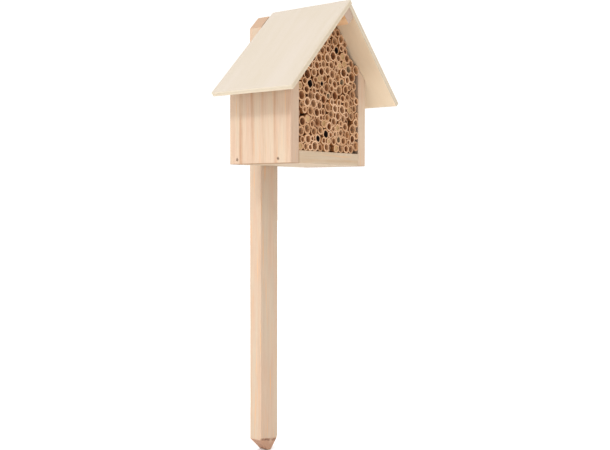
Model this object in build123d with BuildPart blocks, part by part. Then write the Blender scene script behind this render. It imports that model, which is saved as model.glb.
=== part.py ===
"""Insect hotel on a stake: a small gabled house of softwood boards, filled with cut reeds.

Units are millimetres. The stake's centre line is the Z axis and its lowest end is at z = 0.
The open front of the house faces -Y, +X is to the right seen from the front, and +Z is up.
"""
from build123d import *
import math
import os
import random

os.makedirs("parts", exist_ok=True)

# ---------------------------------------------------------------- driving dimensions
# Stake
stake_width = 28.0          # along X
stake_depth = 16.0          # along Y
stake_below_house = 314.0   # from its lowest end to the underside of the house
stake_above_house = 162.0   # from the underside of the house to the stake's top point
stake_top_rise = 14.0       # height of the two sloping cuts at the top
tip_left_height = 14.5      # where the long left cut of the point starts
tip_right_height = 15.5     # where the steep right cut of the point starts
tip_front_height = 14.5     # where the steep front cut of the point starts, in the middle
tip_front_drop = 7.0        # how much lower that cut starts at the right side than at the left
tip_front_inset = 4.0       # how far the front cut goes in
tip_flat_width = 5.0        # blunt end, along X
tip_flat_x = 4.5            # centre of the blunt end: the point is not cut in the middle

# House
house_width = 130.0         # over the side walls
house_depth = 80.0          # front to back, without the roof's overhang
house_x = 2.0               # middle of the house, seen from the stake's centre line
wall_thickness = 13.0       # side walls
base_thickness = 13.0       # floor board
back_thickness = 13.0       # back board
ridge_height = 165.0        # underside of the floor board to the meeting of the roof's outer faces
roof_pitch = 45.0           # degrees; both slopes are equal

# Roof, two plywood panels; the left one covers the upper end of the right one
panel_thickness = 5.0
left_slope = 134.0          # ridge to left eave, along the slope
right_slope = 135.0         # ridge to right eave, along the slope
ridge_lip = 1.5             # the left panel's end stands this much proud of the right panel
front_overhang = 24.0
back_setback = 2.0          # the roof stops this far in front of the back plane

# Square batten turned on its edge under the ridge
batten_size = 12.0
batten_turn = 45.0          # degrees; stands the square on its edge
batten_setback = 1.0        # its front end lies this far behind the roof's front edge

# Nails through the side walls into the floor board
nail_diameter = 1.6
nail_length = 30.0
nail_head_diameter = 3.0
nail_head_thickness = 0.8
nail_point_length = 3.0
nail_height = 4.5           # above the underside of the house
nail_front_distance = 16.0  # from the front of the house
nail_back_distance = 10.0   # from the back of the house
nail_clearance = 0.05       # radial

# Countersunk screws through the stake into the back board
screw_diameter = 3.5
screw_bite = 9.0            # how far the screw's point goes into the back board
screw_head_diameter = 7.0
screw_head_height = 2.2
screw_point_length = 4.0
screw_slot_width = 1.0
screw_slot_depth = 1.4
screw_slot_length = 4.2
screw_low_height = 40.0     # above the underside of the house
screw_spacing = 60.0
screw_clearance = 0.05      # radial

# Reeds
reed_diameters = [6.0, 6.5, 7.0, 7.5, 8.0, 8.5, 9.0, 9.5, 10.0, 10.5, 11.0]
reed_weights = [4, 6, 8, 11, 14, 15, 14, 11, 8, 5, 4]
closed_diameters = [7.0, 8.0]   # sizes in which some reeds are cut at a closed knot
closed_share = 0.3              # share of those sizes that is closed
knot_recess = 1.2               # from a closed reed's end to its knot
reed_wall_base = 0.9            # wall = base + slope * outer diameter
reed_wall_slope = 0.08
reed_front_min = 0.2            # reed ends stand between these distances behind the front
reed_front_max = 1.8
pushed_depth = 5.0              # except for a few reeds that are pushed in this far
pushed_spots = [(6.0, 3.0), (35.0, 32.0), (-47.0, 34.0), (47.0, 63.0)]  # x, z from mid-floor
reed_back_gap = 0.5             # between the back board and the reed that lies deepest
reed_gap = 0.12                 # smallest gap round a reed
reed_seed = 41

# ---------------------------------------------------------------- derived places
pitch = math.radians(roof_pitch)
back_y = -stake_depth / 2
front_y = back_y - house_depth
floor_z = stake_below_house
ridge_z = floor_z + ridge_height
under_ridge_z = ridge_z - panel_thickness / math.cos(pitch)
inner_half = house_width / 2 - wall_thickness
base_top_z = floor_z + base_thickness
back_front_y = back_y - back_thickness
roof_front_y = front_y - front_overhang
roof_back_y = back_y - back_setback
batten_front_y = roof_front_y + batten_setback
batten_half = batten_size / math.sqrt(2)
# The turned batten meets both slopes at 45 degrees. Under a steeper roof it hangs lower, by its
# side edges, and under a flatter one by its top edge.
batten_z = under_ridge_z - batten_half * max(1.0, math.tan(pitch))
batten_bottom_z = batten_z - batten_half
nail_z = floor_z + nail_height
nail_rows = [front_y + nail_front_distance, back_y - nail_back_distance]
screw_rows = [floor_z + screw_low_height, floor_z + screw_low_height + screw_spacing]
nail_hole_radius = nail_diameter / 2 + nail_clearance
screw_hole_radius = screw_diameter / 2 + screw_clearance
screw_length = stake_depth + screw_bite
reed_length = house_depth - back_thickness - pushed_depth - reed_back_gap


def roof_underside(distance):
    """Height of the roof's underside at a sideways distance from the middle of the house."""
    return under_ridge_z - distance * math.tan(pitch)


def across(y):
    """Vertical plane facing the back at depth y: its x is the object's X, its y is height."""
    return Plane(origin=(0, y, 0), x_dir=(1, 0, 0), z_dir=(0, -1, 0))


def finish(builder, name):
    """Label a finished piece and write it."""
    builder.part.label = name
    export_step(builder.part, f"parts/{name}.step")
    print(f"{name}: {len(builder.part.solids())} solid(s), {builder.part.volume:.0f} mm3")


# ---------------------------------------------------------------- stake
stake_half = stake_width / 2
stake_top_z = floor_z + stake_above_house
tip_left_x = tip_flat_x - tip_flat_width / 2
tip_right_x = tip_flat_x + tip_flat_width / 2
stake_front = -stake_depth / 2
stake_back = stake_depth / 2

with BuildPart() as stake:
    with BuildSketch(across(stake_back)):
        with BuildLine():
            Polyline(
                (tip_left_x, 0),
                (tip_right_x, 0),
                (stake_half, tip_right_height),
                (stake_half, stake_top_z - stake_top_rise),
                (0, stake_top_z),
                (-stake_half, stake_top_z - stake_top_rise),
                (-stake_half, tip_left_height),
                close=True,
            )
        make_face()
    extrude(amount=stake_depth)
    cut_edge = Vector(stake_width, 0, -tip_front_drop)
    cut_slope = Vector(0, tip_front_inset, -tip_front_height)
    front_cut = Plane(origin=(0, stake_front, tip_front_height), z_dir=cut_slope.cross(cut_edge))
    split(bisect_by=front_cut, keep=Keep.BOTTOM)
    for z in screw_rows:
        with Locations(Plane(origin=(0, stake_back, z), z_dir=(0, 1, 0))):
            CounterSinkHole(
                radius=screw_hole_radius,
                counter_sink_radius=screw_head_diameter / 2 + screw_clearance,
                depth=stake_depth,
                counter_sink_angle=2 * math.degrees(
                    math.atan((screw_head_diameter - screw_diameter) / 2 / screw_head_height)
                ),
            )
finish(stake, "stake")

# ---------------------------------------------------------------- side walls
wall_outer_top = roof_underside(house_width / 2)
wall_inner_top = roof_underside(inner_half)


def side_wall(side):
    """Upright board with its top cut to the slope of the roof; side is -1 left, +1 right."""
    with BuildPart() as wall:
        with BuildSketch(across(back_y)):
            with BuildLine():
                Polyline(
                    (house_x + side * inner_half, floor_z),
                    (house_x + side * house_width / 2, floor_z),
                    (house_x + side * house_width / 2, wall_outer_top),
                    (house_x + side * inner_half, wall_inner_top),
                    close=True,
                )
            make_face()
        extrude(amount=house_depth)
        for y in nail_rows:
            face = Plane(origin=(house_x + side * house_width / 2, y, nail_z), z_dir=(side, 0, 0))
            with Locations(face):
                CounterBoreHole(
                    radius=nail_hole_radius,
                    counter_bore_radius=nail_head_diameter / 2 + nail_clearance,
                    counter_bore_depth=nail_head_thickness + nail_clearance,
                    depth=wall_thickness,
                )
    return wall


left_wall = side_wall(-1)
finish(left_wall, "left_wall")
right_wall = side_wall(1)
finish(right_wall, "right_wall")

# ---------------------------------------------------------------- floor board
base_width = 2 * inner_half
nail_reach = nail_length - wall_thickness + nail_clearance

with BuildPart() as base_board:
    with BuildSketch(Plane.XY.offset(floor_z)):
        with Locations((house_x, (front_y + back_y) / 2)):
            Rectangle(base_width, house_depth)
    extrude(amount=base_thickness)
    for side in (-1, 1):
        for y in nail_rows:
            edge = Plane(origin=(house_x + side * inner_half, y, nail_z), z_dir=(side, 0, 0))
            with Locations(edge):
                Hole(radius=nail_hole_radius, depth=nail_reach)
finish(base_board, "base_board")

# ---------------------------------------------------------------- back board
screw_reach = screw_bite + screw_clearance

with BuildPart() as back_board:
    with BuildSketch(across(back_y)):
        with BuildLine():
            Polyline(
                (house_x - inner_half, base_top_z),
                (house_x + inner_half, base_top_z),
                (house_x + inner_half, wall_inner_top),
                (house_x, under_ridge_z),
                (house_x - inner_half, wall_inner_top),
                close=True,
            )
        make_face()
    extrude(amount=back_thickness)
    for z in screw_rows:
        with Locations(Plane(origin=(0, back_y, z), z_dir=(0, 1, 0))):
            Hole(radius=screw_hole_radius, depth=screw_reach)
finish(back_board, "back_board")

# ---------------------------------------------------------------- roof panels
roof_length = roof_back_y - roof_front_y


def roof_panel(side, start, end):
    """Plywood panel lying on one slope, from start to end measured down from the ridge."""
    down = Vector(side * math.cos(pitch), -math.sin(pitch))
    inward = Vector(-side * math.sin(pitch), -math.cos(pitch)) * panel_thickness
    ridge = Vector(house_x, ridge_z)
    with BuildPart() as panel:
        with BuildSketch(across(roof_back_y)):
            with BuildLine():
                Polyline(
                    ridge + down * start,
                    ridge + down * end,
                    ridge + down * end + inward,
                    ridge + down * start + inward,
                    close=True,
                )
            make_face()
        extrude(amount=roof_length)
    return panel


# At any pitch the right panel's end meets the left panel's inner face without entering it.
ridge_angle = math.pi - 2 * pitch
right_start = panel_thickness / math.sin(ridge_angle) + max(0.0, panel_thickness / math.tan(ridge_angle))

roof_left = roof_panel(-1, -ridge_lip, left_slope)
finish(roof_left, "roof_left")
roof_right = roof_panel(1, right_start, right_slope)
finish(roof_right, "roof_right")

# ---------------------------------------------------------------- ridge batten
with BuildPart() as ridge_batten:
    with BuildSketch(across(back_front_y)):
        with Locations((house_x, batten_z)):
            Rectangle(batten_size, batten_size, rotation=batten_turn)
    extrude(amount=back_front_y - batten_front_y)
finish(ridge_batten, "ridge_batten")

# ---------------------------------------------------------------- nails
with BuildPart() as wall_nails:
    for side in (-1, 1):
        for y in nail_rows:
            head = Plane(origin=(house_x + side * house_width / 2, y, nail_z), z_dir=(-side, 0, 0))
            with BuildSketch(head):
                Circle(nail_head_diameter / 2)
            extrude(amount=nail_head_thickness)
            with BuildSketch(head.offset(nail_head_thickness)):
                Circle(nail_diameter / 2)
            extrude(amount=nail_length - nail_point_length - nail_head_thickness)
            with Locations(head.offset(nail_length - nail_point_length)):
                Cone(
                    bottom_radius=nail_diameter / 2,
                    top_radius=0,
                    height=nail_point_length,
                    align=(Align.CENTER, Align.CENTER, Align.MIN),
                )
finish(wall_nails, "wall_nails")

# ---------------------------------------------------------------- screws
with BuildPart() as stake_screws:
    for z in screw_rows:
        head = Plane(origin=(0, stake_back, z), z_dir=(0, -1, 0))
        with Locations(head):
            Cone(
                bottom_radius=screw_head_diameter / 2,
                top_radius=screw_diameter / 2,
                height=screw_head_height,
                align=(Align.CENTER, Align.CENTER, Align.MIN),
            )
        with BuildSketch(head.offset(screw_head_height)):
            Circle(screw_diameter / 2)
        extrude(amount=screw_length - screw_point_length - screw_head_height)
        with Locations(head.offset(screw_length - screw_point_length)):
            Cone(
                bottom_radius=screw_diameter / 2,
                top_radius=0,
                height=screw_point_length,
                align=(Align.CENTER, Align.CENTER, Align.MIN),
            )
        with BuildSketch(head):
            Rectangle(screw_slot_length, screw_slot_width)
            Rectangle(screw_slot_width, screw_slot_length)
        extrude(amount=screw_slot_depth, mode=Mode.SUBTRACT)
finish(stake_screws, "stake_screws")

# ---------------------------------------------------------------- packing of the reeds
# The reeds lie on each other as if dropped in one by one: each goes to the lowest place that
# touches two neighbours, or a neighbour and a board. Places are (x, z) from the middle of the
# house at the top of the floor board.
room_half = inner_half
room_apex = under_ridge_z - base_top_z
batten_low = batten_bottom_z - base_top_z
slope_normal = (math.sin(pitch), math.cos(pitch))
# Each board is (a, b, c): the distance of a point from it is a * x + b * z + c.
room_boards = [
    (0.0, 1.0, 0.0),
    (1.0, 0.0, room_half),
    (-1.0, 0.0, room_half),
    (slope_normal[0], -slope_normal[1], slope_normal[1] * room_apex),
    (-slope_normal[0], -slope_normal[1], slope_normal[1] * room_apex),
]


def clear_of_batten(x, z, radius):
    """True if a circle keeps below the lower faces of the turned batten."""
    return (batten_low + abs(x) - z) / math.sqrt(2) >= radius


def touching_two(first, second, radius):
    """Centres of circles of one radius that touch two placed circles."""
    (x1, z1, r1), (x2, z2, r2) = first, second
    gap = math.hypot(x2 - x1, z2 - z1)
    a, b = r1 + radius, r2 + radius
    if gap >= a + b or gap == 0:
        return []
    along = (a * a - b * b + gap * gap) / (2 * gap)
    rise = math.sqrt(max(0.0, a * a - along * along))
    ux, uz = (x2 - x1) / gap, (z2 - z1) / gap
    cx, cz = x1 + along * ux, z1 + along * uz
    return [(cx - rise * uz, cz + rise * ux), (cx + rise * uz, cz - rise * ux)]


def touching_board(board, circle, radius):
    """Centres of circles of one radius that touch a board and a placed circle."""
    a, b, c = board
    x1, z1, r1 = circle
    offset = a * x1 + b * z1 + c - radius
    reach = r1 + radius
    if abs(offset) > reach:
        return []
    slide = math.sqrt(reach * reach - offset * offset)
    cx, cz = x1 - offset * a, z1 - offset * b
    return [(cx - slide * b, cz + slide * a), (cx + slide * b, cz - slide * a)]


def fits(x, z, radius, placed):
    """True if a circle is inside the room and clear of the placed circles."""
    slack = 1e-6
    for a, b, c in room_boards:
        if a * x + b * z + c < radius - slack:
            return False
    if not clear_of_batten(x, z, radius):
        return False
    for px, pz, pr in placed:
        if math.hypot(px - x, pz - z) < pr + radius - slack:
            return False
    return True


def lowest_place(radius, placed):
    """The lowest free place for a circle, or None if there is none."""
    places = [(-room_half + radius, radius), (room_half - radius, radius)]
    for i, circle in enumerate(placed):
        for board in room_boards:
            places += touching_board(board, circle, radius)
        for other in placed[:i]:
            reach = circle[2] + other[2] + 2 * radius
            if math.hypot(circle[0] - other[0], circle[1] - other[1]) < reach:
                places += touching_two(circle, other, radius)
    places.sort(key=lambda place: (round(place[1], 3), place[0]))
    for x, z in places:
        if fits(x, z, radius, placed):
            return x, z
    return None


def pack_reeds():
    """Fill the house; returns a list of (x, z, diameter) in the order of laying."""
    chance = random.Random(reed_seed)
    placed, reeds = [], []
    sizes = list(reed_diameters)
    while sizes:
        weights = [reed_weights[reed_diameters.index(size)] for size in sizes]
        diameter = chance.choices(sizes, weights)[0]
        radius = (diameter + reed_gap) / 2
        place = lowest_place(radius, placed)
        if place is None:
            sizes = [size for size in sizes if size < diameter]
            continue
        placed.append((place[0], place[1], radius))
        reeds.append((place[0], place[1], diameter))
    return reeds


# ---------------------------------------------------------------- reeds
reed_places = pack_reeds()
lengthways = random.Random(reed_seed + 1)
pushed = [min(reed_places, key=lambda place: math.hypot(place[0] - x, place[1] - z))
          for x, z in pushed_spots]
reed_groups = {}
for place_x, place_z, diameter in reed_places:
    setback = lengthways.uniform(reed_front_min, reed_front_max)
    if (place_x, place_z, diameter) in pushed:
        setback = pushed_depth
    closed = diameter in closed_diameters and lengthways.random() < closed_share
    end = (house_x + place_x, front_y + setback, base_top_z + place_z)
    reed_groups.setdefault((diameter, closed), []).append(end)
print(f"{len(reed_places)} reeds in {len(reed_groups)} groups")


def reed_bundle(ends, diameter, closed):
    """Reeds of one size; each is one tube, or a rod with a recess where it is cut at a knot."""
    wall = reed_wall_base + reed_wall_slope * diameter
    bore_depth = knot_recess if closed else reed_length
    with BuildPart() as reeds:
        for end in ends:
            mouth = Plane(origin=end, z_dir=(0, 1, 0))
            with BuildSketch(mouth):
                Circle(diameter / 2)
                Circle(diameter / 2 - wall, mode=Mode.SUBTRACT)
            extrude(amount=bore_depth)
            if closed:
                with BuildSketch(mouth.offset(bore_depth)):
                    Circle(diameter / 2)
                extrude(amount=reed_length - bore_depth)
    return reeds


for (diameter, closed), ends in sorted(reed_groups.items()):
    size_name = f"{diameter:.1f}".replace(".", "_")
    bundle_name = f"reeds_closed_{size_name}mm" if closed else f"reeds_{size_name}mm"
    finish(reed_bundle(ends, diameter, closed), bundle_name)
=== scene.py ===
# %% [markdown]
# # A bee house of raw wood on a stake
#
# The object is a little gabled house of raw softwood, packed with cut reeds and held up by a
# pointed stake. The measured model comes first as a fixed frame, in metres, with the stake's lowest
# end on the floor. Everything below finds its place from that frame: the boards are worked up from
# the frame's own boards, and each reed is built again at the place of the plain tube it stands for.

# %% Load the frame
import math
import random

import bmesh
import bpy
from mathutils import Matrix, Vector, noise


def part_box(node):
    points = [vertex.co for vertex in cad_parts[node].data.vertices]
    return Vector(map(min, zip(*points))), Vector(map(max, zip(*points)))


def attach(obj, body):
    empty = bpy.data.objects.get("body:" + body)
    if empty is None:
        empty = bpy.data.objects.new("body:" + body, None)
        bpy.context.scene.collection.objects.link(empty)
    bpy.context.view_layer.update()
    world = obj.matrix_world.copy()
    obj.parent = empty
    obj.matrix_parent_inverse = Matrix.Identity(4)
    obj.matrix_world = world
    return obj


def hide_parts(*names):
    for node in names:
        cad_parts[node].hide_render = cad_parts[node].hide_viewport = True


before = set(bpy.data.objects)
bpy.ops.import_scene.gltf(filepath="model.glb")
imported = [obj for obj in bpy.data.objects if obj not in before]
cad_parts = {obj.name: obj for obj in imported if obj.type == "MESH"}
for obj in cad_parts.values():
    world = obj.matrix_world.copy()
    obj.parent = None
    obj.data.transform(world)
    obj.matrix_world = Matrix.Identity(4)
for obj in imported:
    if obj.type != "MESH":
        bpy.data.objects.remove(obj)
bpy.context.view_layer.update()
noise.seed_set(1)               # without a seed, Blender starts this noise from the clock
MM = 0.001
WELD = 0.002 * MM               # points nearer than this are one point
DIAGONAL = math.sqrt(0.5)       # sine and cosine of the roof's 45 degrees

# %% [markdown]
# ## Small helpers
#
# Colours are written as the hex values a colour picker shows, and Blender wants them linear. Nodes
# are made by one function, which sets a node's options and then fills its sockets, either with a
# value or with another node's output.

# %% Colour and node helpers
def linear(hex_colour):
    """A hex colour such as 'e6c9a3' as the linear RGBA that shaders use."""
    channels = []
    for start in (0, 2, 4):
        value = int(hex_colour[start:start + 2], 16) / 255
        channels.append(value / 12.92 if value <= 0.04045 else ((value + 0.055) / 1.055) ** 2.4)
    return (*channels, 1.0)


def add(tree, kind, sockets=None, **settings):
    """Add a node, set its options, then fill its sockets with values or links."""
    node = tree.nodes.new(kind)
    for name, value in settings.items():
        setattr(node, name, value)
    for name, value in (sockets or {}).items():
        if isinstance(value, bpy.types.NodeSocket):
            tree.links.new(value, node.inputs[name])
        else:
            node.inputs[name].default_value = value
    return node


def new_finish(name):
    """An empty material with its principled shader; returns material, tree and shader."""
    finish = bpy.data.materials.new(name)
    finish.use_nodes = True
    tree = finish.node_tree
    tree.nodes.clear()
    shader = add(tree, "ShaderNodeBsdfPrincipled")
    output = add(tree, "ShaderNodeOutputMaterial")
    tree.links.new(shader.outputs[0], output.inputs["Surface"])
    return finish, tree, shader


def blend_stops(ramp_node, stops):
    """Set the stops of a colour ramp from (position, hex colour) pairs."""
    ramp = ramp_node.color_ramp
    while len(ramp.elements) > 1:
        ramp.elements.remove(ramp.elements[-1])
    ramp.elements[0].position = stops[0][0]
    ramp.elements[0].color = linear(stops[0][1])
    for position, hex_colour in stops[1:]:
        ramp.elements.new(position).color = linear(hex_colour)

# %% [markdown]
# ## Raw pine
#
# The boards are fast-grown softwood, planed and left bare. A trunk grows in rings, and a board is a
# flat cut through them: its faces show long soft stripes and its ends show arcs. So the pattern is
# made in the solid, not on the surface. Rings are drawn round a pith line that runs with the grain,
# somewhere outside the board, and every face then agrees with its neighbours. Wood this young has
# wide rings, with a blurred pinkish band where each summer ended. Slow patches of colour, fibres
# and short resin canals lie over the rings. Where the saw cuts across the fibres they stand open
# like a brush and swallow light, so every end is darker. Bare softwood is matt: its IOR is near
# 1.5 and its roughness about 0.6 to 0.7.

# %% A pine finish
def pine(name, grain, pith, ring_mm, spring, summer, flush, end, wobble_mm=2.0, depth=1.0,
         resin=0.3):
    """Bare planed pine. grain is the axis the trunk lay on, pith a point in mm on its pith line.

    spring and summer are the two wood colours, flush the tint of slow patches, end the colour
    of wood cut across and resin how strong the orange streaks are.
    """
    finish, tree, shader = new_finish(name)
    source = add(tree, "ShaderNodeTexCoord")
    turn = {"X": (0, math.radians(-90), 0), "Y": (math.radians(90), 0, 0), "Z": (0, 0, 0)}[grain]
    centred = add(tree, "ShaderNodeVectorMath", {0: source.outputs["Object"], 1: [v * MM for v in pith]},
                  operation="SUBTRACT").outputs[0]
    log = add(tree, "ShaderNodeMapping", {"Vector": centred, "Rotation": turn}).outputs[0]
    # slow bends of the rings: about one every 60 mm across and 300 mm along
    slow = add(tree, "ShaderNodeMapping", {"Vector": log, "Scale": (16, 16, 3.2)}).outputs[0]
    bend = add(tree, "ShaderNodeTexNoise", {"Vector": slow, "Scale": 1.0, "Detail": 2.0})
    bend_centred = add(tree, "ShaderNodeVectorMath", {0: bend.outputs["Color"], 1: (0.5, 0.5, 0.5)},
                       operation="SUBTRACT").outputs[0]
    bend_scaled = add(tree, "ShaderNodeVectorMath", {0: bend_centred, "Scale": 4 * wobble_mm * MM},
                      operation="SCALE").outputs[0]
    bent = add(tree, "ShaderNodeVectorMath", {0: log, 1: bend_scaled}, operation="ADD").outputs[0]
    # the wave texture makes one ring every 2 pi / (20 * scale) metres
    rings = add(tree, "ShaderNodeTexWave",
                {"Vector": bent, "Scale": 2 * math.pi / (20 * ring_mm * MM), "Distortion": 0.5,
                 "Detail": 2.0, "Detail Scale": 0.4, "Detail Roughness": 0.5},
                wave_type="RINGS", rings_direction="Z", wave_profile="SAW").outputs["Fac"]
    ring_ramp = add(tree, "ShaderNodeValToRGB", {"Fac": rings})
    blend_stops(ring_ramp, [(0.0, spring), (0.50, spring), (0.82, summer), (1.0, spring)])
    # rings fade in and out: patches 9 mm wide and 80 mm long carry a warmer flush, and patches
    # of another size thin the summer band
    patch_place = add(tree, "ShaderNodeMapping", {"Vector": log, "Scale": (110, 110, 12)}).outputs[0]
    patch = add(tree, "ShaderNodeTexNoise", {"Vector": patch_place, "Scale": 1.0, "Detail": 4.0,
                                             "Roughness": 0.65})
    flush_amount = add(tree, "ShaderNodeMapRange", {"Value": patch.outputs["Fac"], "From Min": 0.42,
                                                    "From Max": 0.66, "To Max": 0.9}).outputs[0]
    thinning = add(tree, "ShaderNodeSeparateColor", {"Color": patch.outputs["Color"]}).outputs["Green"]
    band = add(tree, "ShaderNodeMapRange", {"Value": thinning, "From Min": 0.38, "From Max": 0.62,
                                            "To Min": 0.25, "To Max": 1.0}).outputs[0]
    banded = add(tree, "ShaderNodeMix", {0: band, 6: linear(spring), 7: ring_ramp.outputs[0]},
                 data_type="RGBA").outputs[2]
    warmed = add(tree, "ShaderNodeMix", {0: flush_amount, 6: banded, 7: linear(flush)},
                 data_type="RGBA").outputs[2]
    # orange streaks where resin has soaked in: 2 mm wide, 60 mm long and not many
    soak_place = add(tree, "ShaderNodeMapping", {"Vector": log, "Scale": (330, 330, 14)}).outputs[0]
    soak = add(tree, "ShaderNodeTexNoise", {"Vector": soak_place, "Scale": 1.0, "Detail": 2.0,
                                            "Roughness": 0.5}).outputs["Fac"]
    soak_amount = add(tree, "ShaderNodeMapRange", {"Value": soak, "From Min": 0.60, "From Max": 0.74,
                                                   "To Max": resin}).outputs[0]
    soaked = add(tree, "ShaderNodeMix", {0: soak_amount, 6: warmed, 7: linear("d9a673")},
                 data_type="RGBA").outputs[2]
    # fibres about 0.35 mm wide and 15 mm long, gathered in streaks 1.5 mm wide
    fibre_place = add(tree, "ShaderNodeMapping", {"Vector": log, "Scale": (700, 700, 22)}).outputs[0]
    fibre = add(tree, "ShaderNodeTexNoise", {"Vector": fibre_place, "Scale": 1.0, "Detail": 5.0,
                                             "Roughness": 0.75}).outputs["Fac"]
    fibre_tone = add(tree, "ShaderNodeMapRange", {"Value": fibre, "From Min": 0.3, "From Max": 0.7,
                                                  "To Min": 0.93, "To Max": 1.05}).outputs[0]
    toned = add(tree, "ShaderNodeVectorMath", {0: soaked, "Scale": fibre_tone},
                operation="SCALE").outputs[0]
    # resin canals: thin brown dashes 0.3 mm wide and 7 mm long
    canal_place = add(tree, "ShaderNodeMapping", {"Vector": log, "Scale": (420, 420, 18)}).outputs[0]
    canal = add(tree, "ShaderNodeTexVoronoi", {"Vector": canal_place, "Scale": 1.0}).outputs["Distance"]
    canal_mask = add(tree, "ShaderNodeMapRange", {"Value": canal, "From Min": 0.06, "From Max": 0.14,
                                                  "To Min": 0.5, "To Max": 0.0}).outputs[0]
    long_grain = add(tree, "ShaderNodeMix", {0: canal_mask, 6: toned, 7: linear(summer)},
                     data_type="RGBA").outputs[2]
    # how squarely a face cuts the fibres, from its own direction
    axis = {"X": (1, 0, 0), "Y": (0, 1, 0), "Z": (0, 0, 1)}[grain]
    facing = add(tree, "ShaderNodeVectorMath", {0: source.outputs["Normal"], 1: axis},
                 operation="DOT_PRODUCT").outputs["Value"]
    square = add(tree, "ShaderNodeMath", {0: facing}, operation="ABSOLUTE").outputs[0]
    cut_across = add(tree, "ShaderNodeMapRange", {"Value": square, "From Min": 0.05, "From Max": 0.5,
                                                  "To Max": 0.85}).outputs[0]
    pores = add(tree, "ShaderNodeTexNoise", {"Vector": source.outputs["Object"], "Scale": 1 / (0.5 * MM),
                                             "Detail": 3.0, "Roughness": 0.7}).outputs["Fac"]
    pore_tone = add(tree, "ShaderNodeMapRange", {"Value": pores, "From Min": 0.3, "From Max": 0.7,
                                                 "To Min": 0.82, "To Max": 1.10}).outputs[0]
    end_grain = add(tree, "ShaderNodeVectorMath", {0: linear(end)[:3], "Scale": pore_tone},
                    operation="SCALE").outputs[0]
    colour = add(tree, "ShaderNodeMix", {0: cut_across, 6: long_grain, 7: end_grain},
                 data_type="RGBA").outputs[2]
    tree.links.new(colour, shader.inputs["Base Color"])
    rough = add(tree, "ShaderNodeMapRange", {"Value": fibre, "To Min": 0.58, "To Max": 0.74}).outputs[0]
    tree.links.new(rough, shader.inputs["Roughness"])
    shader.inputs["IOR"].default_value = 1.5
    shader.inputs["Specular IOR Level"].default_value = 0.3
    relief = add(tree, "ShaderNodeMath", {0: fibre, 1: pores}, operation="ADD").outputs[0]
    bump = add(tree, "ShaderNodeBump", {"Height": relief, "Distance": 0.05 * MM, "Strength": 0.5 * depth})
    tree.links.new(bump.outputs[0], shader.inputs["Normal"])
    print("finish:", name, "with a ring every", ring_mm, "mm")
    return finish

# %% [markdown]
# ## The boards
#
# The frame's boards have the right size but knife-sharp edges. Real boards have edges eased by a
# touch of sandpaper and faces that are never quite flat. Each board is copied from the frame, its
# triangles are merged back to flat faces and its long edges get a small rounded bevel. It is then
# cut into a grid, so that it can wander by a tenth of a millimetre or so. Weighted normals keep the big
# faces flat to the light and leave all the roundness to the bevels.

# %% Work up one board
def in_one_piece(node):
    """The node's mesh as a bmesh with its seams welded and its flat faces merged."""
    work = bmesh.new()
    work.from_mesh(node.data)
    bmesh.ops.remove_doubles(work, verts=work.verts, dist=WELD)
    bmesh.ops.dissolve_limit(work, angle_limit=math.radians(0.5), verts=work.verts, edges=work.edges)
    return work


WAVES_PER_METRE = 45            # of the slow wander of a board's faces
SEED_STEP = 7.3                 # how far apart two boards lie in the noise


def board(node_name, finish, edge_mm=0.5, wander_mm=0.10, cut_mm=10.0, seed=0):
    """A board of the frame with eased edges and slightly uneven faces."""
    work = in_one_piece(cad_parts[node_name])
    work.normal_update()
    sharp = [edge for edge in work.edges
             if len(edge.link_faces) == 2 and edge.calc_face_angle(0) > math.radians(25)
             and edge.calc_length() > 1.5 * MM]
    bmesh.ops.bevel(work, geom=sharp, offset=edge_mm * MM, offset_type="OFFSET", segments=3,
                    profile=0.5, affect="EDGES", clamp_overlap=True)
    low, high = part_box(node_name)
    for axis in range(3):
        steps = max(1, round((high[axis] - low[axis]) / (cut_mm * MM)))
        normal = Vector([1.0 if i == axis else 0.0 for i in range(3)])
        for step in range(1, steps):
            at = low + (high - low) * (step / steps)
            everything = work.verts[:] + work.edges[:] + work.faces[:]
            bmesh.ops.bisect_plane(work, geom=everything, dist=0.001 * MM, plane_co=at,
                                   plane_no=normal)
    for vert in work.verts:
        shift = noise.noise_vector(vert.co * WAVES_PER_METRE + Vector((seed * SEED_STEP, 0, 0)))
        vert.co += shift * wander_mm * MM
    mesh = bpy.data.meshes.new(node_name + "_worked")
    work.to_mesh(mesh)
    work.free()
    piece = bpy.data.objects.new(node_name + "_worked", mesh)
    bpy.context.scene.collection.objects.link(piece)
    for polygon in mesh.polygons:
        polygon.use_smooth = True
    mesh.set_sharp_from_angle(angle=math.radians(35))
    weighted = piece.modifiers.new("flat faces stay flat", "WEIGHTED_NORMAL")
    weighted.keep_sharp = True
    mesh.materials.append(finish)
    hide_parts(node_name)
    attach(piece, "root")
    print("board:", piece.name, len(mesh.polygons), "faces")

# %% [markdown]
# ## Walls, floor board and back board
#
# The side walls stand with their grain upright, and the floor board lies between them with its
# grain across. The back board, which the reeds hide, has upright grain too. Each gets its own
# pith line, as boards from different trees do. The walls are cut so that the rings run straight
# through their thickness: their faces are striped and their narrow front edges are plain.

# %% Walls, floor board, back board
wall_low, wall_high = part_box("left_wall")
left_x, front_y, under_z = (1000 * v for v in wall_low)
right_x = 1000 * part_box("right_wall")[1].x
back_y = 1000 * wall_high.y

left_pine = pine("planed_pine_left_wall", "Z", (left_x + 6, front_y - 58, 0), 16.0,
                 "c3b19d", "b49279", "c2a995", "a38367")
right_pine = pine("planed_pine_right_wall", "Z", (right_x - 6, front_y - 64, 0), 14.0,
                  "c9b6a1", "c4a78e", "c6ad98", "a2856b")
base_pine = pine("planed_pine_floor_board", "X", (0, front_y - 30, under_z - 50), 9.0,
                 "c2b19c", "bda487", "beaa92", "a0836a")
back_pine = pine("planed_pine_back_board", "Z", (left_x + 40, back_y + 55, 0), 11.0,
                 "cfbeab", "c6a98c", "cbb69e", "af9378")

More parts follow.
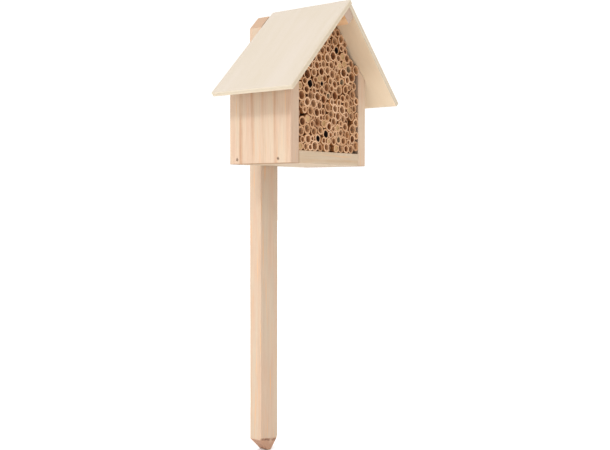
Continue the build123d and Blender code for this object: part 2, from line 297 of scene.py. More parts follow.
board("left_wall", left_pine, seed=1)
board("right_wall", right_pine, seed=2)
board("base_board", base_pine, seed=3)
board("back_board", back_pine, seed=4)

# %% [markdown]
# ## The stake
#
# The stake is a longer and rougher batten, sawn to a point with three cuts below and two above.
# Its front lies along the rings and looks even; its sides cut through them. The point was sawn by
# hand. Its low cuts face downwards and are painted darker: painted shade, for the little light that
# reaches them from below. On the front cut, dark patches run in a band just below its upper edge.

# %% Stake
stake_pine = pine("sawn_pine_stake", "Z", (3, -66, 0), 13.0, "c1b09d", "c0a28a", "c3aa95", "b39983",
                  wobble_mm=2.6, depth=1.6, resin=0.7)


POINT_TOP = 0.022               # above this height the stake gets no painted shade
POINT_FULL = 0.019              # below this one its downward cuts get the full painted shade
PATCH_BAND_MIDDLE = 1.3 * MM          # the dark patches' place below the front cut's edge
PATCH_BAND_REACH = 1.7 * MM           # how far they reach above and below that


def shade_and_mark_point(finish, edge_mm, slope, cut_shade_hex, patch_band_hex):
    """Paint shade on the downward cuts of a point sawn by hand, and put dark patches on its front cut.

    That cut's upper edge is at edge_mm above the floor where x is 0, and falls by slope times x.
    """
    tree = finish.node_tree
    shader = next(node for node in tree.nodes if node.type == "BSDF_PRINCIPLED")
    clean = shader.inputs["Base Color"].links[0].from_socket
    coordinates = add(tree, "ShaderNodeTexCoord")
    place = add(tree, "ShaderNodeSeparateXYZ", {0: coordinates.outputs["Object"]})
    facing = add(tree, "ShaderNodeSeparateXYZ", {0: coordinates.outputs["Normal"]})
    low = add(tree, "ShaderNodeMapRange", {"Value": place.outputs["Z"], "From Min": POINT_TOP,
                                           "From Max": POINT_FULL}).outputs[0]
    # painted shade: the low cuts are darkened the more they face downwards, for the little light they get
    # from below
    down = add(tree, "ShaderNodeMapRange", {"Value": facing.outputs["Z"], "From Min": -0.08,
                                            "From Max": -0.22, "To Max": 0.75}).outputs[0]
    cut = add(tree, "ShaderNodeMath", {0: low, 1: down}, operation="MULTIPLY").outputs[0]
    darkened = add(tree, "ShaderNodeMix", {0: cut, 6: clean, 7: linear(cut_shade_hex)},
                   data_type="RGBA").outputs[2]
    # how far below the edge of the front cut a point lies; the dark patches lie in a band over its first
    # 3 mm
    edge = add(tree, "ShaderNodeMath", {0: place.outputs["X"], 1: -slope, 2: edge_mm * MM},
               operation="MULTIPLY_ADD").outputs[0]
    below = add(tree, "ShaderNodeMath", {0: edge, 1: place.outputs["Z"]},
                operation="SUBTRACT").outputs[0]
    off = add(tree, "ShaderNodeMath", {0: below, 1: PATCH_BAND_MIDDLE, 2: PATCH_BAND_REACH},
              operation="COMPARE").outputs[0]
    patches = add(tree, "ShaderNodeTexNoise", {"Vector": coordinates.outputs["Object"],
                                               "Scale": 1 / (2.5 * MM), "Detail": 4.0,
                                               "Roughness": 0.7}).outputs["Fac"]
    spots = add(tree, "ShaderNodeMapRange", {"Value": patches, "From Min": 0.40,
                                             "From Max": 0.58}).outputs[0]
    ragged = add(tree, "ShaderNodeMath", {0: off, 1: spots}, operation="MULTIPLY").outputs[0]
    patch_band = add(tree, "ShaderNodeMath", {0: ragged, 1: cut}, operation="MULTIPLY").outputs[0]
    marked = add(tree, "ShaderNodeMix", {0: patch_band, 6: darkened, 7: linear(patch_band_hex)},
                 data_type="RGBA").outputs[2]
    tree.links.new(marked, shader.inputs["Base Color"])


front_cut_mm = 14.5             # where the front cut starts, at the middle of the stake
front_cut_slope = 0.25          # how much lower it starts for each step to the right
# b18b74 is the painted shade on the downward cuts, 5c3c28 the dark patches on the front cut
shade_and_mark_point(stake_pine, front_cut_mm, front_cut_slope, "b18b74", "5c3c28")
board("stake", stake_pine, wander_mm=0.16, cut_mm=14.0, seed=5)

# %% [markdown]
# ## The ridge batten
#
# A square batten sits on its edge under the ridge and gives the two panels something to be fixed
# to. Its end is sawn across the grain, so it shows ring arcs and looks greyer than its sides.

# %% Ridge batten
batten_pine = pine("sawn_pine_batten", "Y", (10, 0, 1000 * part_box("ridge_batten")[1].z + 14), 5.0,
                   "e1c29f", "d3a87f", "deb791", "b3a296", depth=1.4)
board("ridge_batten", batten_pine, edge_mm=0.4, wander_mm=0.12, seed=6)

# %% [markdown]
# ## Plywood for the roof
#
# The roof panels are three-ply: two face veneers round a thinner core whose grain runs the other
# way. On a cut edge the plies have nearly one colour, but the saw leaves the core a hair lower than
# the veneers. So each panel is built as three sheets, the core a little smaller than the faces,
# instead of drawing a line on one block. The outer veneer is the better one, pale, cool and very
# fine, with a faint straight figure, a pin knot here and there and a slight sheen from sanding.
# The veneer inside is painted warmer and lighter than the outer one: painted bounce light, for the warm
# light thrown between the wooden parts under the roof.

# %% Veneer and core finishes
def veneer(name, along, facing, pale, shade, figure_mm, fleck=0.25, rough=0.55):
    """Sanded veneer. along is the direction of its grain and facing the way its sheet looks.

    Both are unit vectors in the frame.
    """
    finish, tree, shader = new_finish(name)
    coordinates = add(tree, "ShaderNodeTexCoord")
    place = coordinates.outputs["Object"]
    turned = Vector(along).rotation_difference(Vector((0, 0, 1))).to_euler()
    log = add(tree, "ShaderNodeMapping", {"Vector": place, "Rotation": tuple(turned)}).outputs[0]
    # broad cloudy figure of rotary-cut veneer
    cloud_scale = 1 / (figure_mm * MM)
    cloud_place = add(tree, "ShaderNodeMapping",
                      {"Vector": log, "Scale": (cloud_scale, cloud_scale, cloud_scale / 6)}).outputs[0]
    cloud = add(tree, "ShaderNodeTexNoise", {"Vector": cloud_place, "Scale": 1.0, "Detail": 4.0,
                                             "Roughness": 0.55, "Distortion": 0.6}).outputs["Fac"]
    # hair-fine vessel lines, 0.4 mm wide and 8 mm long
    vessel_place = add(tree, "ShaderNodeMapping", {"Vector": log, "Scale": (2500, 2500, 120)}).outputs[0]
    vessel = add(tree, "ShaderNodeTexNoise", {"Vector": vessel_place, "Scale": 1.0, "Detail": 2.0,
                                              "Roughness": 0.7}).outputs["Fac"]
    cloud_amount = add(tree, "ShaderNodeMapRange", {"Value": cloud, "From Min": 0.35, "From Max": 0.7,
                                                    "To Max": 0.55}).outputs[0]
    vessel_amount = add(tree, "ShaderNodeMapRange", {"Value": vessel, "From Min": 0.5, "From Max": 0.8,
                                                     "To Max": fleck}).outputs[0]
    both = add(tree, "ShaderNodeMath", {0: cloud_amount, 1: vessel_amount}, operation="ADD",
               use_clamp=True).outputs[0]
    colour = add(tree, "ShaderNodeMix", {0: both, 6: linear(pale), 7: linear(shade)},
                 data_type="RGBA").outputs[2]
    # the sawn edges of the sheet all have one colour, whichever ply they belong to
    squareness = add(tree, "ShaderNodeVectorMath", {0: coordinates.outputs["Normal"], 1: tuple(facing)},
                     operation="DOT_PRODUCT").outputs["Value"]
    square = add(tree, "ShaderNodeMath", {0: squareness}, operation="ABSOLUTE").outputs[0]
    edge = add(tree, "ShaderNodeMapRange", {"Value": square, "From Min": 0.95,
                                            "From Max": 0.55, "To Max": 0.9}).outputs[0]
    colour = add(tree, "ShaderNodeMix", {0: edge, 6: colour, 7: linear("c8bca9")},
                 data_type="RGBA").outputs[2]
    # pin knots: specks a little under a millimetre across, a few on each panel
    cell = add(tree, "ShaderNodeTexVoronoi", {"Vector": place, "Scale": 1 / (18 * MM)})
    speck = add(tree, "ShaderNodeMapRange", {"Value": cell.outputs["Distance"], "From Min": 0.018,
                                             "From Max": 0.030, "To Min": 0.6, "To Max": 0.0}).outputs[0]
    colour = add(tree, "ShaderNodeMix", {0: speck, 6: colour, 7: linear("9c7859")},
                 data_type="RGBA").outputs[2]
    tree.links.new(colour, shader.inputs["Base Color"])
    gloss = add(tree, "ShaderNodeMapRange", {"Value": vessel, "To Min": rough - 0.06,
                                             "To Max": rough + 0.10}).outputs[0]
    tree.links.new(gloss, shader.inputs["Roughness"])
    shader.inputs["IOR"].default_value = 1.5
    shader.inputs["Specular IOR Level"].default_value = 0.4
    bump = add(tree, "ShaderNodeBump", {"Height": vessel, "Distance": 0.03 * MM, "Strength": 0.5})
    tree.links.new(bump.outputs[0], shader.inputs["Normal"])
    print("finish:", name)
    return finish

# %% Build a panel of three plies
def extent(node_name, direction):
    """Lowest and highest reach of a node along a direction, in metres."""
    reach = [vert.co.dot(direction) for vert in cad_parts[node_name].data.vertices]
    return min(reach), max(reach)


def sheet_box(work, axes, ranges, material_index, cell, jitter, seed):
    """A thin sheet with a grid of quads on its faces and slightly ragged sides."""
    down, back, inward = axes
    (u0, u1), (v0, v1), (w0, w1) = ranges
    columns = max(2, round((u1 - u0) / cell))
    rows = max(2, round((v1 - v0) / cell))
    layers = []
    for w in (w0, w1):
        layer = []
        for i in range(columns + 1):
            line = []
            for j in range(rows + 1):
                u = u0 + (u1 - u0) * i / columns
                v = v0 + (v1 - v0) * j / rows
                ragged = noise.noise(Vector((u * 900, v * 900, w * 500 + seed))) * jitter
                if i in (0, columns):
                    u += ragged * (1 if i == 0 else -1)
                if j in (0, rows):
                    v += ragged * (1 if j == 0 else -1)
                line.append(work.verts.new(down * u + back * v + inward * w))
            layer.append(line)
        layers.append(layer)
    under, over = layers

    def face(corners):
        made = work.faces.new(corners)
        made.material_index = material_index

    for i in range(columns):
        for j in range(rows):
            for layer, flip in ((under, False), (over, True)):
                ring = [layer[i][j], layer[i + 1][j], layer[i + 1][j + 1], layer[i][j + 1]]
                face(ring[::-1] if flip else ring)
    for j in range(rows):
        face([under[0][j], under[0][j + 1], over[0][j + 1], over[0][j]])
        face([under[-1][j + 1], under[-1][j], over[-1][j], over[-1][j + 1]])
    for i in range(columns):
        face([under[i + 1][0], under[i][0], over[i][0], over[i + 1][0]])
        face([under[i][-1], under[i + 1][-1], over[i + 1][-1], over[i][-1]])


def roof_panel(node_name, side, plies, seed):
    """Three-ply panel that stands for a roof panel; side is -1 left, +1 right."""
    down = Vector((side * DIAGONAL, 0, -DIAGONAL))
    back = Vector((0, 1, 0))
    inward = Vector((-side * DIAGONAL, 0, -DIAGONAL))
    u_range, v_range, (w0, w1) = (extent(node_name, axis) for axis in (down, back, inward))
    thickness = w1 - w0
    work = bmesh.new()
    start = w0
    for index, (share, inset_mm) in enumerate(plies):
        end = start + share * thickness
        ranges = [(low + inset_mm * MM, high - inset_mm * MM) for low, high in (u_range, v_range)]
        sheet_box(work, (down, back, inward), (*ranges, (start, end)), index, 3.5 * MM,
                  0.12 * MM, seed + index)
        start = end
    bmesh.ops.recalc_face_normals(work, faces=work.faces)

    def on_the_outside(edge):
        """True for the panel's own edges, False for the lines between its plies."""
        heights = [vert.co.dot(inward) for vert in edge.verts]
        level = abs(heights[0] - heights[1]) < 0.01 * MM
        at_surface = min(abs(heights[0] - w0), abs(heights[0] - w1)) < 0.01 * MM
        return not level or at_surface

    outline = [edge for edge in work.edges
               if edge.calc_face_angle(0) > math.radians(60) and on_the_outside(edge)]
    bmesh.ops.bevel(work, geom=outline, offset=0.6 * MM, offset_type="OFFSET", segments=3,
                    profile=0.5, affect="EDGES", clamp_overlap=True)
    mesh = bpy.data.meshes.new(node_name + "_plies")
    work.to_mesh(mesh)
    work.free()
    for polygon in mesh.polygons:
        polygon.use_smooth = True
    mesh.set_sharp_from_angle(angle=math.radians(40))
    piece = bpy.data.objects.new(node_name + "_plies", mesh)
    bpy.context.scene.collection.objects.link(piece)
    return piece


# share of the thickness and inset of each ply, outer face first
ply_stack = [(0.36, 0.0), (0.26, 0.08), (0.38, 0.0)]
for side, label in ((-1, "left"), (1, "right")):
    slope = Vector((side * DIAGONAL, 0, -DIAGONAL))
    outward = Vector((side * DIAGONAL, 0, DIAGONAL))
    upper = veneer(f"sanded_poplar_upper_veneer_{label}", slope, outward, "bbb2a7", "b6ac9b", 16.0)
    core = veneer(f"sawn_poplar_core_{label}", (0, 1, 0), outward, "b9a893", "a3907a", 3.0,
                  fleck=0.4, rough=0.75)
    # painted bounce light: the inner veneer is lighter and warmer than the outer one, to lift its shade
    # under the roof
    lower = veneer(f"poplar_lower_veneer_painted_bounce_{label}", slope, outward, "dccbb3", "d4bfa3", 22.0)
    panel = roof_panel(f"roof_{label}", side, ply_stack, seed=11 + side)
    for finish in (upper, core, lower):
        panel.data.materials.append(finish)
    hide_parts(f"roof_{label}")
    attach(panel, "root")
    print("roof panel:", panel.name, len(panel.data.polygons), "faces")

# %% [markdown]
# ## The reeds
#
# The house is filled with dried reed, cut to one length and pushed in by hand. Each cut end shows
# a pale ring of fibre about 1.5 mm thick, a brown lining inside, and a thin golden skin
# outside. No reed is truly round, the bore is never quite in the middle, and the saw leaves the
# end a little fuzzy and not quite square. The plain tubes of the frame give each reed its place,
# size and length; a mesh with those faults is built there instead.

# %% Find the tubes of the frame
def tubes_in(node):
    """Each separate tube of a node as (x, z, radius, mouth y, tail y), in metres."""
    mesh = node.data
    spot_of, spots = {}, []
    for vert in mesh.vertices:
        key = tuple(round(value / WELD) for value in vert.co)
        spot_of.setdefault(key, len(spot_of))
        spots.append(spot_of[key])
    group = list(range(len(spot_of)))

    def head(item):
        while group[item] != item:
            group[item] = group[group[item]]
            item = group[item]
        return item

    for polygon in mesh.polygons:
        first = head(spots[polygon.vertices[0]])
        for corner in polygon.vertices[1:]:
            group[head(spots[corner])] = first
    members = {}
    for vert, spot in zip(mesh.vertices, spots):
        members.setdefault(head(spot), []).append(vert.co)
    tubes = []
    for points in members.values():
        low = [min(point[axis] for point in points) for axis in range(3)]
        high = [max(point[axis] for point in points) for axis in range(3)]
        radius = (high[0] - low[0] + high[2] - low[2]) / 4
        tubes.append(((low[0] + high[0]) / 2, (low[2] + high[2]) / 2, radius, low[1], high[1]))
    return sorted(tubes)


reed_nodes = sorted(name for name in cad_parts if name.startswith("reeds_"))
reed_tubes = {name: tubes_in(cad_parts[name]) for name in reed_nodes}
print("reeds:", sum(len(tubes) for tubes in reed_tubes.values()), "in", len(reed_nodes), "sizes")

# %% [markdown]
# Reed is a grass. Its skin is hard and shiny with lengthwise lines, its cut wall is a ring of pale
# stringy fibre with dark dots where the sap ran, and the bore is lined with a thin brown film.
# Some reeds are cut at a knot and end in soft grey-green pith. That makes four finishes on one
# mesh. Every reed also carries two numbers of its own, stored with its vertices: one makes it
# paler or redder than the next, the other makes its bore lighter or darker.

# %% Reed finishes
def reed_finish(name, tone_name, colours, scale, rough, relief, dots=0.0):
    """A reed surface whose colour follows a number of each reed; scale is noise per metre."""
    finish, tree, shader = new_finish(name)
    tone = add(tree, "ShaderNodeAttribute", attribute_name=tone_name).outputs["Fac"]
    place = add(tree, "ShaderNodeTexCoord").outputs["Object"]
    ramp = add(tree, "ShaderNodeValToRGB", {"Fac": tone})
    blend_stops(ramp, colours)
    streak_place = add(tree, "ShaderNodeMapping", {"Vector": place, "Scale": scale}).outputs[0]
    streak = add(tree, "ShaderNodeTexNoise", {"Vector": streak_place, "Scale": 1.0, "Detail": 3.0,
                                              "Roughness": 0.65}).outputs["Fac"]
    strength = add(tree, "ShaderNodeMapRange", {"Value": streak, "From Min": 0.3, "From Max": 0.7,
                                                "To Min": 0.82, "To Max": 1.12}).outputs[0]
    shaded = add(tree, "ShaderNodeVectorMath", {0: ramp.outputs[0], "Scale": strength},
                 operation="SCALE").outputs[0]
    # sap tubes 0.3 mm across, spaced about 0.6 mm
    cells = add(tree, "ShaderNodeTexVoronoi", {"Vector": place, "Scale": 1 / (0.6 * MM)})
    spot = add(tree, "ShaderNodeMapRange", {"Value": cells.outputs["Distance"], "From Min": 0.15,
                                            "From Max": 0.35, "To Min": dots, "To Max": 0.0}).outputs[0]
    colour = add(tree, "ShaderNodeMix", {0: spot, 6: shaded, 7: linear(colours[0][1])},
                 data_type="RGBA").outputs[2]
    tree.links.new(colour, shader.inputs["Base Color"])
    shader.inputs["Roughness"].default_value = rough
    shader.inputs["IOR"].default_value = 1.5
    bump = add(tree, "ShaderNodeBump", {"Height": streak, "Distance": relief * MM, "Strength": 0.7})
    tree.links.new(bump.outputs[0], shader.inputs["Normal"])
    print("finish:", name)
    return finish


reed_skin = reed_finish("dried_reed_skin", "reed_tone",
                        [(0.0, "6d4124"), (0.45, "936339"), (1.0, "b78451")],
                        (1600, 90, 1600), 0.45, 0.05)
reed_cut = reed_finish("sawn_reed_end", "reed_tone",
                       [(0.0, "a78060"), (0.45, "c7a27f"), (1.0, "d5b496")],
                       (1900, 1900, 1900), 0.8, 0.08, dots=0.25)
# the lining's lowest stops, 37221c, are painted shade for the bores open right through to shadow
reed_bore = reed_finish("brown_reed_lining", "bore_tone",
                        [(0.0, "37221c"), (0.1, "37221c"), (0.2, "b19a7d"), (0.3, "b19a7d"),
                         (0.4, "ab764d"), (0.6, "c1936a"), (0.8, "cda986"), (1.0, "d6ac81")],
                        (1100, 160, 1100), 0.8, 0.08)
reed_pith = reed_finish("grey_green_reed_pith", "reed_tone",
                        [(0.0, "a4865e"), (0.45, "bd9f76"), (1.0, "ccaf89")],
                        (1500, 1500, 1500), 0.9, 0.20, dots=0.3)

# %% [markdown]
# Reeds pressed into a box do not stay round. Each touches five or six neighbours, flattens a little
# against them and swells into the gaps between. The outline of each reed is therefore worked out
# from its neighbours: between two reeds runs the line where they press on each other, the outline
# may not cross it, and elsewhere it may swell by about a tenth of its radius. Along the right-hand
# board and roof the reeds swell about twice as far, to fill up to the board.

# %% The outline of each reed
SIDES = 40
PRESS_REACH = 3 * MM            # a reed is pressed by what lies within this distance
PRESS_GAP = 0.03 * MM           # what is left between a reed and the line it presses on
roof_inward = {side: Vector((-side * DIAGONAL, 0, -DIAGONAL)) for side in (-1, 1)}
room_planes = [
    (Vector((-1, 0, 0)), -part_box("left_wall")[1].x),
    (Vector((1, 0, 0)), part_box("right_wall")[0].x),
    (Vector((0, 0, -1)), -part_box("base_board")[1].z),
    (-roof_inward[-1], -extent("roof_left", roof_inward[-1])[1]),
    (-roof_inward[1], -extent("roof_right", roof_inward[1])[1]),
]
every_tube = [tube for tubes in reed_tubes.values() for tube in tubes]


def pressing_lines(tube):
    """(angle, distance) of each line that this reed presses on."""
    x, z, radius = tube[:3]
    lines = []
    for other in every_tube:
        dx, dz = other[0] - x, other[1] - z
        gap = math.hypot(dx, dz)
        if 0 < gap < radius + other[2] + PRESS_REACH:
            reach = (gap * gap + radius * radius - other[2] * other[2]) / (2 * gap)
            lines.append((math.atan2(dz, dx), reach))
    for normal, reach in room_planes:
        distance = reach - normal.x * x - normal.z * z
        if distance < radius + PRESS_REACH:
            lines.append((math.atan2(normal.z, normal.x), distance))
    return lines


def outline_of(tube, swell):
    """Radius of the pressed reed at each of its SIDES angles, in metres."""
    radius = tube[2]
    lines = pressing_lines(tube)
    radii = []
    for step in range(SIDES):
        angle = 2 * math.pi * step / SIDES
        limit = radius * (1 + swell)
        for direction, reach in lines:
            cosine = math.cos(angle - direction)
            if cosine > 0.2:
                limit = min(limit, (reach - PRESS_GAP) / cosine)
        radii.append(limit)
    for _ in range(2):
        radii = [(radii[i - 1] + 2 * radii[i] + radii[(i + 1) % SIDES]) / 4 for i in range(SIDES)]
    return radii

# %% Build the reeds
def ring_of(work, centre, radii, depth, tilt, fuzz, chance):
    """One ring of vertices round a reed, with one radius for each of its sides."""
    ring = []
    for step, radius in enumerate(radii):
        angle = 2 * math.pi * step / SIDES
        x = centre[0] + radius * math.cos(angle)
        z = centre[1] + radius * math.sin(angle)
        lean = tilt[0] * (x - centre[0]) + tilt[1] * (z - centre[1])
        ring.append(work.verts.new((x, depth + lean + chance.uniform(-fuzz, fuzz), z)))
    return ring


def join_rings(work, rings, material_index):
    """Bands of faces from each ring to the next."""
    for first, second in zip(rings, rings[1:]):
        for step in range(SIDES):
            after = (step + 1) % SIDES
            band = work.faces.new((first[step], first[after], second[after], second[step]))
            band.material_index = material_index


# The reeds along the right-hand board and roof are pressed flatter, and stand nearly level with
# the front of the house. A reed that was pushed in stays where it is.
house_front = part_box("left_wall")[0].y
AT_THE_RIGHT = 1.5 * MM         # nearer than this to the board or roof is along it
PUSHED_IN = 3 * MM              # deeper than this is pushed in
LEVEL_DEPTH = 0.25 * MM         # where the levelled ends stand, behind the front
RIGHT_SWELL = 0.12              # how much further those reeds swell, as a share of the radius
WALL_BASE = 0.9 * MM            # a reed's wall is this thick,
WALL_SHARE = 0.08               # and this share of its diameter more


def at_the_right(tube):
    """True if a reed lies along the right-hand board or roof."""
    gaps = [reach - normal.x * tube[0] - normal.z * tube[1] - tube[2]
            for normal, reach in room_planes if normal.x > 0.1]
    return min(gaps) < AT_THE_RIGHT


def levelled(tube):
    """The tube with its mouth brought level if it lies along the right-hand side."""
    x, z, radius, mouth, tail = tube
    pushed_in = mouth - house_front > PUSHED_IN
    if at_the_right(tube) and not pushed_in:
        mouth = min(mouth, house_front + LEVEL_DEPTH)
    return x, z, radius, mouth, tail


def reed(work, tube, closed, chance):
    """One reed: skin, sawn ring, lining, and a pith plug where it is closed."""
    x, z, radius, mouth, tail = tube
    wall = (WALL_BASE + WALL_SHARE * 2 * radius) * chance.uniform(0.82, 1.15)
    swell = chance.uniform(0.05, 0.13)
    skin = outline_of(tube, swell + RIGHT_SWELL if at_the_right(tube) else swell)
    turn, thick = chance.uniform(0, 2 * math.pi), chance.uniform(0.05, 0.25)
    tilt = (chance.uniform(-0.07, 0.07), chance.uniform(-0.07, 0.07))
    bore = [skin[i] - wall * (1 + thick * math.sin(2 * math.pi * i / SIDES + turn))
            + chance.uniform(-0.05, 0.05) * MM for i in range(SIDES)]

    def between(inner, scale=1.0):
        """A ring of radii part of the way from the skin to the bore."""
        return [scale * ((1 - inner) * skin[i] + inner * bore[i]) for i in range(SIDES)]

    centre, flat = (x, z), (0, 0)
    outside = [
        ring_of(work, centre, between(0, 0.985), tail, flat, 0, chance),
        ring_of(work, centre, between(0), tail - 8 * MM, flat, 0, chance),
        ring_of(work, centre, between(0, 0.99), mouth + 22 * MM, flat, 0, chance),
        ring_of(work, centre, between(0), mouth + 5 * MM, flat, 0, chance),
        ring_of(work, centre, between(0), mouth + 0.35 * MM, tilt, 0.04 * MM, chance),
    ]
    rim = [
        outside[-1],
        ring_of(work, centre, between(0.15), mouth + 0.08 * MM, tilt, 0.07 * MM, chance),
        ring_of(work, centre, between(0.5), mouth, tilt, 0.10 * MM, chance),
        ring_of(work, centre, between(0.9), mouth + 0.06 * MM, tilt, 0.08 * MM, chance),
        ring_of(work, centre, between(1.0), mouth + 0.35 * MM, tilt, 0.05 * MM, chance),
    ]
    join_rings(work, outside, 0)
    join_rings(work, rim, 1)
    if closed:
        level = chance.uniform(0.5, 1.1) * MM
        plug = [rim[-1]]
        for inner, share, height in ((1.0, 0.97, 1.0), (1.0, 0.6, 1.1), (1.0, 0.25, 0.8)):
            plug.append(ring_of(work, centre, between(inner, share), mouth + height * level, tilt,
                                0.14 * MM, chance))
        join_rings(work, plug, 3)
        work.faces.new(plug[-1]).material_index = 3
        work.faces.new(outside[0][::-1]).material_index = 1
        return
    inside = [rim[-1]]
    for depth_mm, widen in ((2.5, 1.03), (9.0, 0.98), (25.0, 1.0)):
        inside.append(ring_of(work, centre, between(1.0, widen), mouth + depth_mm * MM, flat,
                              0.03 * MM, chance))
    inside.append(ring_of(work, centre, between(1.0), tail, flat, 0, chance))
    join_rings(work, inside, 2)
    join_rings(work, [inside[-1], outside[0]], 1)


# Some bores are open right through to shadow and get a near-black lining: painted shade. A few have a
# grey lining: (x, z) in mm.
dark_bores = [(-8, 396), (-15, 342), (-5, 346), (-32, 398), (11, 431)]
grey_bores = [(26, 402), (32, 413), (5, 385), (23, 341)]
DARK_TONE = 0.0                 # their places on the lining's colour ramp
GREY_TONE = 0.2


def nearest(spots, tube):
    """True if no other open reed lies nearer to one of the spots than this one."""
    open_tubes = [other for name, tubes in reed_tubes.items() if "closed" not in name
                  for other in tubes]
    for x, z in spots:
        spot = Vector((x * MM, z * MM))
        if tube == min(open_tubes, key=lambda other: (Vector(other[:2]) - spot).length):
            return True
    return False


def reeds_of(node_name, tubes):
    """All reeds of one size as one piece that stands for the frame's node."""
    chance = random.Random(node_name)
    closed = "closed" in node_name
    work = bmesh.new()
    tones = {"reed_tone": [], "bore_tone": []}
    for tube in tubes:
        before = len(work.verts)
        reed(work, levelled(tube), closed, chance)
        made = len(work.verts) - before
        tones["reed_tone"] += [min(1.0, max(0.0, chance.gauss(0.6, 0.24)))] * made
        bore_tone = min(1.0, max(0.38, chance.gauss(0.68, 0.17)))
        if nearest(dark_bores, tube):
            bore_tone = DARK_TONE
        if nearest(grey_bores, tube):
            bore_tone = GREY_TONE
        tones["bore_tone"] += [bore_tone] * made
    bmesh.ops.recalc_face_normals(work, faces=work.faces)
    mesh = bpy.data.meshes.new(node_name + "_cut")
    work.to_mesh(mesh)
    work.free()
    for name, values in tones.items():
        mesh.attributes.new(name, "FLOAT", "POINT").data.foreach_set("value", values)
    for polygon in mesh.polygons:
        polygon.use_smooth = True
    mesh.set_sharp_from_angle(angle=math.radians(50))
    for finish in (reed_skin, reed_cut, reed_bore, reed_pith):
        mesh.materials.append(finish)
    piece = bpy.data.objects.new(node_name + "_cut", mesh)
    bpy.context.scene.collection.objects.link(piece)
    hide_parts(node_name)
    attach(piece, "root")
    return piece


reed_pieces = [reeds_of(name, tubes) for name, tubes in reed_tubes.items()]
print("reed faces:", sum(len(piece.data.polygons) for piece in reed_pieces))

# %% [markdown]
# ## Nails and screws
#
# Bare wire nails hold the floor board, with their heads driven flush, and two plated screws hold
# the stake. Steel is a metal, so it needs full metallic and the default IOR; dull wire is rough and
# brown-grey, zinc plating is lighter, a little yellow and blotchy. The frame's own nails and
# screws have the right shape, so they only get these finishes and a small bevel.

# %% Steel finishes
def plated(name, light, dark, rough, blotch_mm):
    """Steel with a blotchy surface; blotch_mm is the size of its patches."""
    finish, tree, shader = new_finish(name)
    place = add(tree, "ShaderNodeTexCoord").outputs["Object"]
    blotch = add(tree, "ShaderNodeTexNoise", {"Vector": place, "Scale": 1 / (blotch_mm * MM),
                                              "Detail": 4.0}).outputs["Fac"]
    ramp = add(tree, "ShaderNodeValToRGB", {"Fac": blotch})
    blend_stops(ramp, [(0.35, dark), (0.65, light)])
    tree.links.new(ramp.outputs[0], shader.inputs["Base Color"])
    gloss = add(tree, "ShaderNodeMapRange", {"Value": blotch, "To Min": rough + 0.15,
                                             "To Max": rough - 0.05}).outputs[0]
    tree.links.new(gloss, shader.inputs["Roughness"])
    shader.inputs["Metallic"].default_value = 1.0
    bump = add(tree, "ShaderNodeBump", {"Height": blotch, "Distance": 0.02 * MM, "Strength": 0.6})
    tree.links.new(bump.outputs[0], shader.inputs["Normal"])
    print("finish:", name)
    return finish


def keep_with(node_name, finish, edge_mm):
    """Give a frame node its finish and a small bevel, and leave its mesh alone."""
    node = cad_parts[node_name]
    node.data.materials.clear()
    node.data.materials.append(finish)
    weld = node.modifiers.new("weld seams", "WELD")
    weld.merge_threshold = WELD
    ease = node.modifiers.new("eased edges", "BEVEL")
    ease.width = edge_mm * MM
    ease.segments = 2
    ease.limit_method = "ANGLE"
    ease.angle_limit = math.radians(40)
    print("kept:", node_name)


keep_with("wall_nails", plated("dull_wire_nail", "beaa98", "826e5d", 0.5, 0.8), 0.12)
keep_with("stake_screws", plated("zinc_plated_screw", "d3cdb5", "afa992", 0.3, 1.5), 0.10)

# %% [markdown]
# ## Floor, light and camera
#
# The floor is a wide pale sheet that fades into a white surround. The surround is a large soft
# tent of light, as for catalogue work. Two soft boxes on the left make the left faces a little
# brighter than the front. The wide one stands low and reaches in under the eave; the small one
# stands high and draws the edge of the eave's shadow on the wall.

# %% Floor
floor_mesh = bpy.data.meshes.new("studio_floor")
floor_reach = 6.0      # metres each way
floor_level = -0.2 * MM
corners = [(-floor_reach, -floor_reach), (floor_reach, -floor_reach),
           (floor_reach, floor_reach), (-floor_reach, floor_reach)]
floor_mesh.from_pydata([(x, y, floor_level) for x, y in corners], [], [(0, 1, 2, 3)])
floor = bpy.data.objects.new("studio_floor", floor_mesh)
bpy.context.scene.collection.objects.link(floor)
floor_finish, floor_tree, floor_shader = new_finish("matt_white_studio_floor")
floor_place = add(floor_tree, "ShaderNodeTexCoord").outputs["Object"]
floor_noise = add(floor_tree, "ShaderNodeTexNoise", {"Vector": floor_place, "Scale": 40.0}).outputs["Fac"]
floor_ramp = add(floor_tree, "ShaderNodeValToRGB", {"Fac": floor_noise})
blend_stops(floor_ramp, [(0.3, "f6f9fc"), (0.7, "f8fbfe")])
floor_tree.links.new(floor_ramp.outputs[0], floor_shader.inputs["Base Color"])
floor_shader.inputs["Roughness"].default_value = 0.9
floor_shader.inputs["Specular IOR Level"].default_value = 0.0
floor_mesh.materials.append(floor_finish)
print("floor laid under the stake's point")

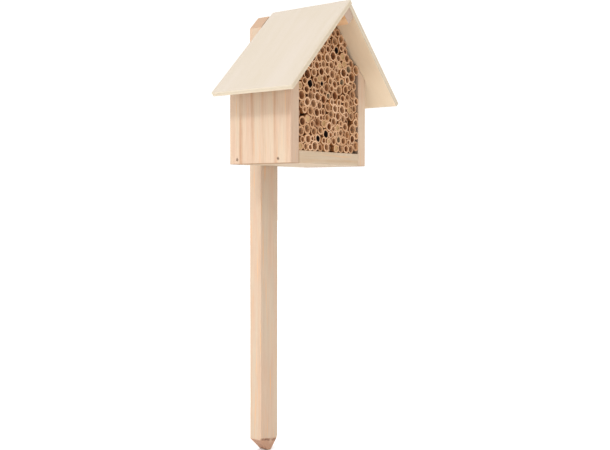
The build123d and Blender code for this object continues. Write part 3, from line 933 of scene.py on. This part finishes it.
# %% Light
scene = bpy.context.scene
scene.view_settings.view_transform = "Standard"
scene.view_settings.look = "None"
scene.view_settings.gamma = 0.8
world = bpy.data.worlds.new("white_tent")
scene.world = world
world.use_nodes = True
world.node_tree.nodes.clear()
upwards = add(world.node_tree, "ShaderNodeSeparateXYZ",
              {0: add(world.node_tree, "ShaderNodeTexCoord").outputs["Generated"]}).outputs["Z"]
tent_light = add(world.node_tree, "ShaderNodeMapRange", {"Value": upwards, "From Min": 0.25,
                                                         "From Max": 1.0, "To Min": 1.07,
                                                         "To Max": 1.6}).outputs[0]
tent = add(world.node_tree, "ShaderNodeBackground", {"Color": (1.02, 1.0, 0.985, 1),
                                                     "Strength": tent_light})
tent_output = add(world.node_tree, "ShaderNodeOutputWorld")
world.node_tree.links.new(tent.outputs[0], tent_output.inputs["Surface"])

house_centre = (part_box("left_wall")[0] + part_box("right_wall")[1]) / 2


def soft_box(name, offset, size, watts):
    """A square soft light at an offset in metres from the house, aimed at it."""
    light = bpy.data.lights.new(name, "AREA")
    light.color = (0.95, 1.0, 1.05)
    light.size = size
    light.energy = watts
    holder = bpy.data.objects.new(name, light)
    scene.collection.objects.link(holder)
    holder.location = house_centre + Vector(offset)
    holder.rotation_euler = (house_centre - holder.location).to_track_quat("-Z", "Y").to_euler()


soft_box("soft_box_low_left", (-1.30, -0.08, -0.22), 0.50, 2.6)
soft_box("soft_box_high_left", (-1.25, -0.10, 0.90), 0.22, 7.4)
print("light: a white tent and two soft boxes")

# %% [markdown]
# The camera stands to the left of the house's front, about as high as the floor board and looking
# a little down. Its lens is a short telephoto, so the stake's sides stay almost parallel.

# %% Camera
view_turn = 52.4       # degrees from square-on, towards the left side
view_down = 2.2        # degrees below level
view_roll = -0.1       # degrees
view_distance = 0.827
aim = Vector((left_x + 22.8, front_y, under_z - 61.1)) * MM
turn, down = math.radians(view_turn), math.radians(view_down)
forward = Vector((math.sin(turn) * math.cos(down), math.cos(turn) * math.cos(down), -math.sin(down)))
camera_data = bpy.data.cameras.new("camera")
camera_data.sensor_width = 36.0
camera_data.lens = 49.03
camera_data.clip_start = 0.01
camera = bpy.data.objects.new("camera", camera_data)
scene.collection.objects.link(camera)
camera.location = aim - forward * view_distance
level = forward.to_track_quat("-Z", "Y").to_matrix().to_4x4()
camera.matrix_world = Matrix.Translation(camera.location) @ level @ Matrix.Rotation(
    math.radians(-view_roll), 4, "Z")
scene.camera = camera
print("camera at", [round(value, 3) for value in camera.location])
